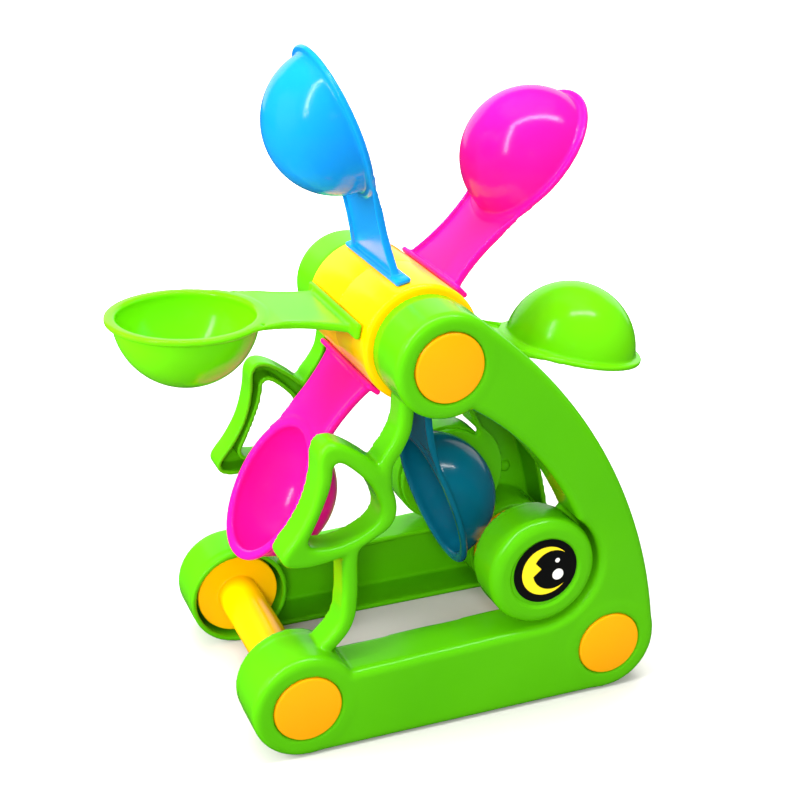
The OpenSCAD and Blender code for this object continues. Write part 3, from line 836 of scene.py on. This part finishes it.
def eye_print(name, mirror):
    """A thin disc whose top is divided along the printed shapes."""
    rings = [circle_points((0, 0), STICKER_R, RIM_POINTS)]
    rings += [circle_points(c, r, SHAPE_POINTS) for c, r in (IRIS, PUPIL)]
    rings += [circle_points(c, r, GLINT_POINTS) for c, r in GLINTS] + [TOOTH]
    flat, edges = [], []
    for ring in rings:
        start = len(flat)
        flat += [Vector(p) for p in ring]
        edges += [(start + k, start + (k + 1) % len(ring)) for k in range(len(ring))]
    verts, _, faces, _, _, _ = delaunay_2d_cdt(flat, edges, [], 1, JOIN_GAP)
    sign = -1 if mirror else 1
    top = DISH_Y + STICKER_T
    points = [(EYE[0] + PRINT_SHIFT[0] + v.x, sign * top, EYE[1] + PRINT_SHIFT[1] + v.y) for v in verts]
    tris = [list(f) if mirror else list(f)[::-1] for f in faces]
    slots = []
    for f in faces:
        middle = sum((verts[i] for i in f), Vector((0, 0))) / len(f)
        slots.append(eye_slot(middle.x, middle.y))
    rim = len(points)
    outer = [i for i, v in enumerate(verts) if v.length > STICKER_R - RIM_GAP]
    outer.sort(key=lambda i: math.atan2(verts[i].y, verts[i].x))
    for i in outer:
        points.append((points[i][0], sign * (DISH_Y + PRINT_SINK), points[i][2]))
    n = len(outer)
    for k in range(n):
        m = (k + 1) % n
        face = [outer[k], outer[m], rim + m, rim + k]
        tris.append(face if not mirror else face[::-1])
        slots.append(BLACK_SLOT)
    tris.append([rim + k for k in range(n)] if not mirror else [rim + n - 1 - k for k in range(n)])
    slots.append(BLACK_SLOT)
    obj = mesh_object(name, points, tris)
    obj.data.polygons.foreach_set("use_smooth", [False] * len(tris))
    obj.data.polygons.foreach_set("material_index", slots)
    return obj


for side, mirror in SIDES:
    pieces["eye_sticker_%s" % side] = eye_print("eye_print_%s" % side, mirror)


# Materials
def linear(r, g, b):
    """Screen colour from 0 to 255 as linear light."""
    def one(v):
        v /= 255
        return v / 12.92 if v <= 0.04045 else ((v + 0.055) / 1.055) ** 2.4
    return (one(r), one(g), one(b), 1.0)


# Scale and detail of each noise
DRIFT = (14.0, 3.0)         # broad changes of colour
FLOW = (45.0, 4.0)          # changes of gloss where the plastic flowed
SKIN = (260.0, 2.0)         # the fine skin
DRIFT_RANGE = (0.35, 0.65)  # the part of the noise over which the colour changes
FLOW_RANGE = (0.85, 1.2)    # shares of the roughness
SKIN_STRENGTH = 0.02
SKIN_DEPTH = 0.0004         # metres
PLASTIC_IOR = 1.5
PLASTIC_SPECULAR = 0.28
GLOW_DEPTH = 0.004          # metres


def noise(nodes, links, where, kind):
    """A noise texture on the piece's own coordinates."""
    node = nodes.new("ShaderNodeTexNoise")
    node.inputs["Scale"].default_value = kind[0]
    node.inputs["Detail"].default_value = kind[1]
    links.new(where.outputs["Object"], node.inputs["Vector"])
    return node.outputs["Fac"]


def plastic(name, colour, deep, roughness, soft=0.0, glow=None):
    """Moulded plastic: slight colour drift, faint flow marks and a fine skin. Soft is the
    share of the light that passes below the surface, and glow is its reach in each colour."""
    mat = bpy.data.materials.new(name)
    mat.use_nodes = True
    nodes, links = mat.node_tree.nodes, mat.node_tree.links
    shader = nodes["Principled BSDF"]
    where = nodes.new("ShaderNodeTexCoord")
    ramp = nodes.new("ShaderNodeValToRGB")
    for stop, position, tone in zip(ramp.color_ramp.elements, DRIFT_RANGE, (deep, colour)):
        stop.position = position
        stop.color = tone
    links.new(noise(nodes, links, where, DRIFT), ramp.inputs["Fac"])
    links.new(ramp.outputs["Color"], shader.inputs["Base Color"])
    gloss = nodes.new("ShaderNodeMapRange")
    gloss.inputs["To Min"].default_value = roughness * FLOW_RANGE[0]
    gloss.inputs["To Max"].default_value = roughness * FLOW_RANGE[1]
    links.new(noise(nodes, links, where, FLOW), gloss.inputs["Value"])
    links.new(gloss.outputs["Result"], shader.inputs["Roughness"])
    bump = nodes.new("ShaderNodeBump")
    bump.inputs["Strength"].default_value = SKIN_STRENGTH
    bump.inputs["Distance"].default_value = SKIN_DEPTH
    links.new(noise(nodes, links, where, SKIN), bump.inputs["Height"])
    links.new(bump.outputs["Normal"], shader.inputs["Normal"])
    shader.inputs["IOR"].default_value = PLASTIC_IOR
    shader.inputs["Specular IOR Level"].default_value = PLASTIC_SPECULAR
    if soft:
        shader.inputs["Subsurface Weight"].default_value = soft
        shader.inputs["Subsurface Radius"].default_value = glow
        shader.inputs["Subsurface Scale"].default_value = GLOW_DEPTH
    return mat


SCOOP_ROUGHNESS = 0.16
SCOOP_SOFT = 0.12
PRINT_ROUGHNESS = 0.4
# How far light reaches below a scoop's surface in red, green and blue, as shares of GLOW_DEPTH
BLUE_GLOW = (0.3, 0.8, 1.0)
PINK_GLOW = (1.0, 0.3, 0.7)
LIME_GLOW = (0.5, 1.0, 0.3)

GREEN = plastic("green_plastic", linear(80, 174, 5), linear(75, 168, 4), roughness=0.2)
YELLOW = plastic("yellow_plastic", linear(250, 189, 0), linear(246, 180, 0), roughness=0.16)
AMBER = plastic("amber_plastic", linear(239, 161, 0), linear(233, 153, 0), roughness=0.22)
BLUE = plastic("blue_plastic", linear(14, 130, 204), linear(10, 124, 198),
               SCOOP_ROUGHNESS, SCOOP_SOFT, BLUE_GLOW)
# The lower blue scoop takes a darker copy of the blue plastic: painted shade, for the shade that it lies
# in between the frames
SHADED_BLUE = plastic("painted_shade_blue_plastic", linear(5, 92, 116), linear(3, 86, 108),
                    SCOOP_ROUGHNESS, SCOOP_SOFT, BLUE_GLOW)
PINK = plastic("pink_plastic", linear(240, 16, 142), linear(234, 12, 134),
               SCOOP_ROUGHNESS, SCOOP_SOFT, PINK_GLOW)
LIME = plastic("lime_plastic", linear(98, 196, 6), linear(92, 188, 4),
               SCOOP_ROUGHNESS, SCOOP_SOFT, LIME_GLOW)
PRINT_BLACK = plastic("print_black", linear(12, 12, 12), linear(9, 9, 9), PRINT_ROUGHNESS)
PRINT_YELLOW = plastic("print_yellow", linear(250, 224, 30), linear(246, 218, 24), PRINT_ROUGHNESS)
PRINT_WHITE = plastic("print_white", linear(240, 240, 232), linear(236, 236, 226), PRINT_ROUGHNESS)


def wear(obj, body, slot, node, *materials):
    """Gives a piece its materials and body, and hides the node that it stands for. The slot is not used.
    """
    for material in materials:
        obj.data.materials.append(material)
    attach(obj, body)
    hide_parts(node)


wear(frame_left, "frame", "frame_green", "side_frame_left", GREEN)
wear(frame_right, "frame", "frame_green", "side_frame_right", GREEN)
for node, obj in pieces.items():
    if "cap" in node:
        wear(obj, "frame", "cap_amber", node, AMBER)
    elif "button" in node:
        wear(obj, "frame", "frame_green", node, GREEN)
    elif "sticker" in node:
        wear(obj, "frame", "eye_print", node, PRINT_BLACK, PRINT_YELLOW, PRINT_WHITE)
    elif "drum" in node:
        wear(obj, "wheel", "bar_yellow", node, YELLOW)
    else:
        wear(obj, "frame", "bar_yellow", node, YELLOW)
for name, obj in scoops.items():
    tint = name.split("_")[0]
    material = {"blue": BLUE, "pink": PINK, "green": LIME}[tint]
    # Painted shade: the lower blue scoop wears the darker, shaded copy of the blue plastic
    if name == "blue_lower":
        material = SHADED_BLUE
    wear(obj, "wheel", "scoop_" + tint, "scoop_" + name, material)


# Camera
CAMERA_PLACE = (-0.2365, -0.5620, 0.3817)
CAMERA_RIGHT = (0.92655, -0.37604, 0.01019)
CAMERA_UP = (0.13699, 0.36252, 0.92186)
CAMERA_BACK = (-0.35034, -0.85275, 0.38740)
LENS = 68.607           # millimetres
SENSOR_W = 36.0         # millimetres
camera = bpy.data.objects.new("camera", bpy.data.cameras.new("camera"))
camera.data.lens = LENS
camera.data.sensor_width = SENSOR_W
turn = Matrix((CAMERA_RIGHT, CAMERA_UP, CAMERA_BACK)).transposed().to_4x4()
camera.matrix_world = Matrix.Translation(CAMERA_PLACE) @ turn
bpy.context.scene.collection.objects.link(camera)
bpy.context.scene.camera = camera


# Floor, light and background
TARGET = (0.0, 0.0, 0.13)       # the place that the lamps face


def lamp(name, start, end, width, power, distance, shines):
    """An area lamp that faces the object; start and end are the middles of its short
    sides, each as [right, up, towards the viewer] from the object."""
    data = bpy.data.lights.new(name, "AREA")
    data.shape = "RECTANGLE"
    obj = bpy.data.objects.new(name, data)
    axes = Matrix((CAMERA_RIGHT, CAMERA_UP, CAMERA_BACK)).transposed()
    start = axes @ Vector(start) * distance
    end = axes @ Vector(end) * distance
    z_axis = (start + end).normalized()
    along = end - start
    x_axis = (along - z_axis * z_axis.dot(along)).normalized()
    y_axis = z_axis.cross(x_axis)
    data.size = along.length
    data.size_y = width
    data.energy = power
    turn = Matrix((x_axis, y_axis, z_axis)).transposed().to_4x4()
    obj.matrix_world = Matrix.Translation(Vector(TARGET) + (start + end) / 2) @ turn
    # A lamp that doesn't shine leaves no sheen of its own on the plastic
    obj.visible_glossy = shines
    obj.visible_camera = False
    bpy.context.scene.collection.objects.link(obj)


# Name, start, end, width in metres, power in watts, distance in metres, and whether it shines
LAMPS = [
    ("strip_left", (-0.66, 0.05, 0.74), (-0.37, 0.72, 0.60), 0.035, 4.8, 1.2, True),
    ("strip_top", (-0.34, 0.74, 0.60), (0.62, 0.71, 0.31), 0.035, 6.6, 1.2, True),
    ("broad_left", (-1.0, -0.2, 0.3), (-0.9, 0.6, 0.2), 0.9, 26.0, 1.2, False),
    ("broad_top", (-0.5, 1.0, 0.1), (0.5, 1.0, 0.1), 0.9, 25.0, 1.2, False),
    ("front_fill", (-0.08, 0.0, 1.0), (0.08, 0.0, 1.0), 0.2, 13.0, 1.3, False),
    ("backdrop", (-1.0, 0.35, -1.0), (1.0, 0.35, -1.0), 3.0, 34.0, 2.0, True),
]
for row in LAMPS:
    lamp(*row)


def by_ray(tree, kind):
    """1 for the named kind of ray, 0 for the others."""
    return tree.nodes.new("ShaderNodeLightPath").outputs[kind]


def scaled(tree, source, low, high):
    """Maps 0 to low and 1 to high."""
    node = tree.nodes.new("ShaderNodeMapRange")
    node.inputs["To Min"].default_value = low
    node.inputs["To Max"].default_value = high
    tree.links.new(source, node.inputs["Value"])
    return node.outputs["Result"]


# The camera sees a pale floor that turns to pure white away from the object; the floor lights
# the object less than that, and is dark in reflections
FLOOR_R = 4.0
FLOOR_SEGMENTS = 64
FLOOR_COLOUR = (0.60, 0.585, 0.55, 1)
FLOOR_ROUGHNESS = 0.8
FLOOR_WHITE_FROM = 0.22         # metres from the middle of the stand
FLOOR_WHITE_TO = 0.55
FLOOR_LIGHT = 0.3
FLOOR_REFLECTED = 0.02


def floor_material():
    mat = bpy.data.materials.new("floor")
    mat.use_nodes = True
    tree = mat.node_tree
    ground = tree.nodes["Principled BSDF"]
    ground.inputs["Base Color"].default_value = FLOOR_COLOUR
    ground.inputs["Roughness"].default_value = FLOOR_ROUGHNESS
    ground.inputs["Specular IOR Level"].default_value = 0.0
    ground.inputs["Emission Color"].default_value = (1, 1, 1, 1)
    where = tree.nodes.new("ShaderNodeNewGeometry")
    away = tree.nodes.new("ShaderNodeVectorMath")
    away.operation = "LENGTH"
    tree.links.new(where.outputs["Position"], away.inputs[0])
    white = tree.nodes.new("ShaderNodeMapRange")
    white.interpolation_type = "SMOOTHSTEP"
    white.inputs["From Min"].default_value = FLOOR_WHITE_FROM
    white.inputs["From Max"].default_value = FLOOR_WHITE_TO
    tree.links.new(away.outputs["Value"], white.inputs["Value"])
    tree.links.new(white.outputs["Result"], ground.inputs["Emission Strength"])
    dark = tree.nodes.new("ShaderNodeBsdfDiffuse")
    level = scaled(tree, by_ray(tree, "Is Glossy Ray"), FLOOR_LIGHT, FLOOR_REFLECTED)
    tree.links.new(level, dark.inputs["Color"])
    mixed = tree.nodes.new("ShaderNodeMixShader")
    tree.links.new(by_ray(tree, "Is Camera Ray"), mixed.inputs[0])
    tree.links.new(dark.outputs[0], mixed.inputs[1])
    tree.links.new(ground.outputs[0], mixed.inputs[2])
    tree.links.new(mixed.outputs[0], tree.nodes["Material Output"].inputs["Surface"])
    return mat


floor = mesh_object("floor", [], [])
floor_mesh = bmesh.new()
bmesh.ops.create_circle(floor_mesh, cap_ends=True, radius=FLOOR_R, segments=FLOOR_SEGMENTS)
floor_mesh.to_mesh(floor.data)
floor_mesh.free()
floor.data.materials.append(floor_material())

# The surroundings: white to the camera, soft light on the object, dim in reflections
WORLD_SEEN = 1.0
WORLD_LIGHT = 0.6
REFLECTED_DROP = -0.52
world = bpy.data.worlds.new("world")
bpy.context.scene.world = world
world.use_nodes = True
tree = world.node_tree
background = tree.nodes["Background"]
background.inputs["Color"].default_value = (1, 1, 1, 1)
seen = scaled(tree, by_ray(tree, "Is Camera Ray"), WORLD_LIGHT, WORLD_SEEN)
dimmed = scaled(tree, by_ray(tree, "Is Glossy Ray"), 0.0, REFLECTED_DROP)
level = tree.nodes.new("ShaderNodeMath")
level.operation = "ADD"
tree.links.new(seen, level.inputs[0])
tree.links.new(dimmed, level.inputs[1])
tree.links.new(level.outputs[0], background.inputs["Strength"])

bpy.context.scene.view_settings.view_transform = "Standard"
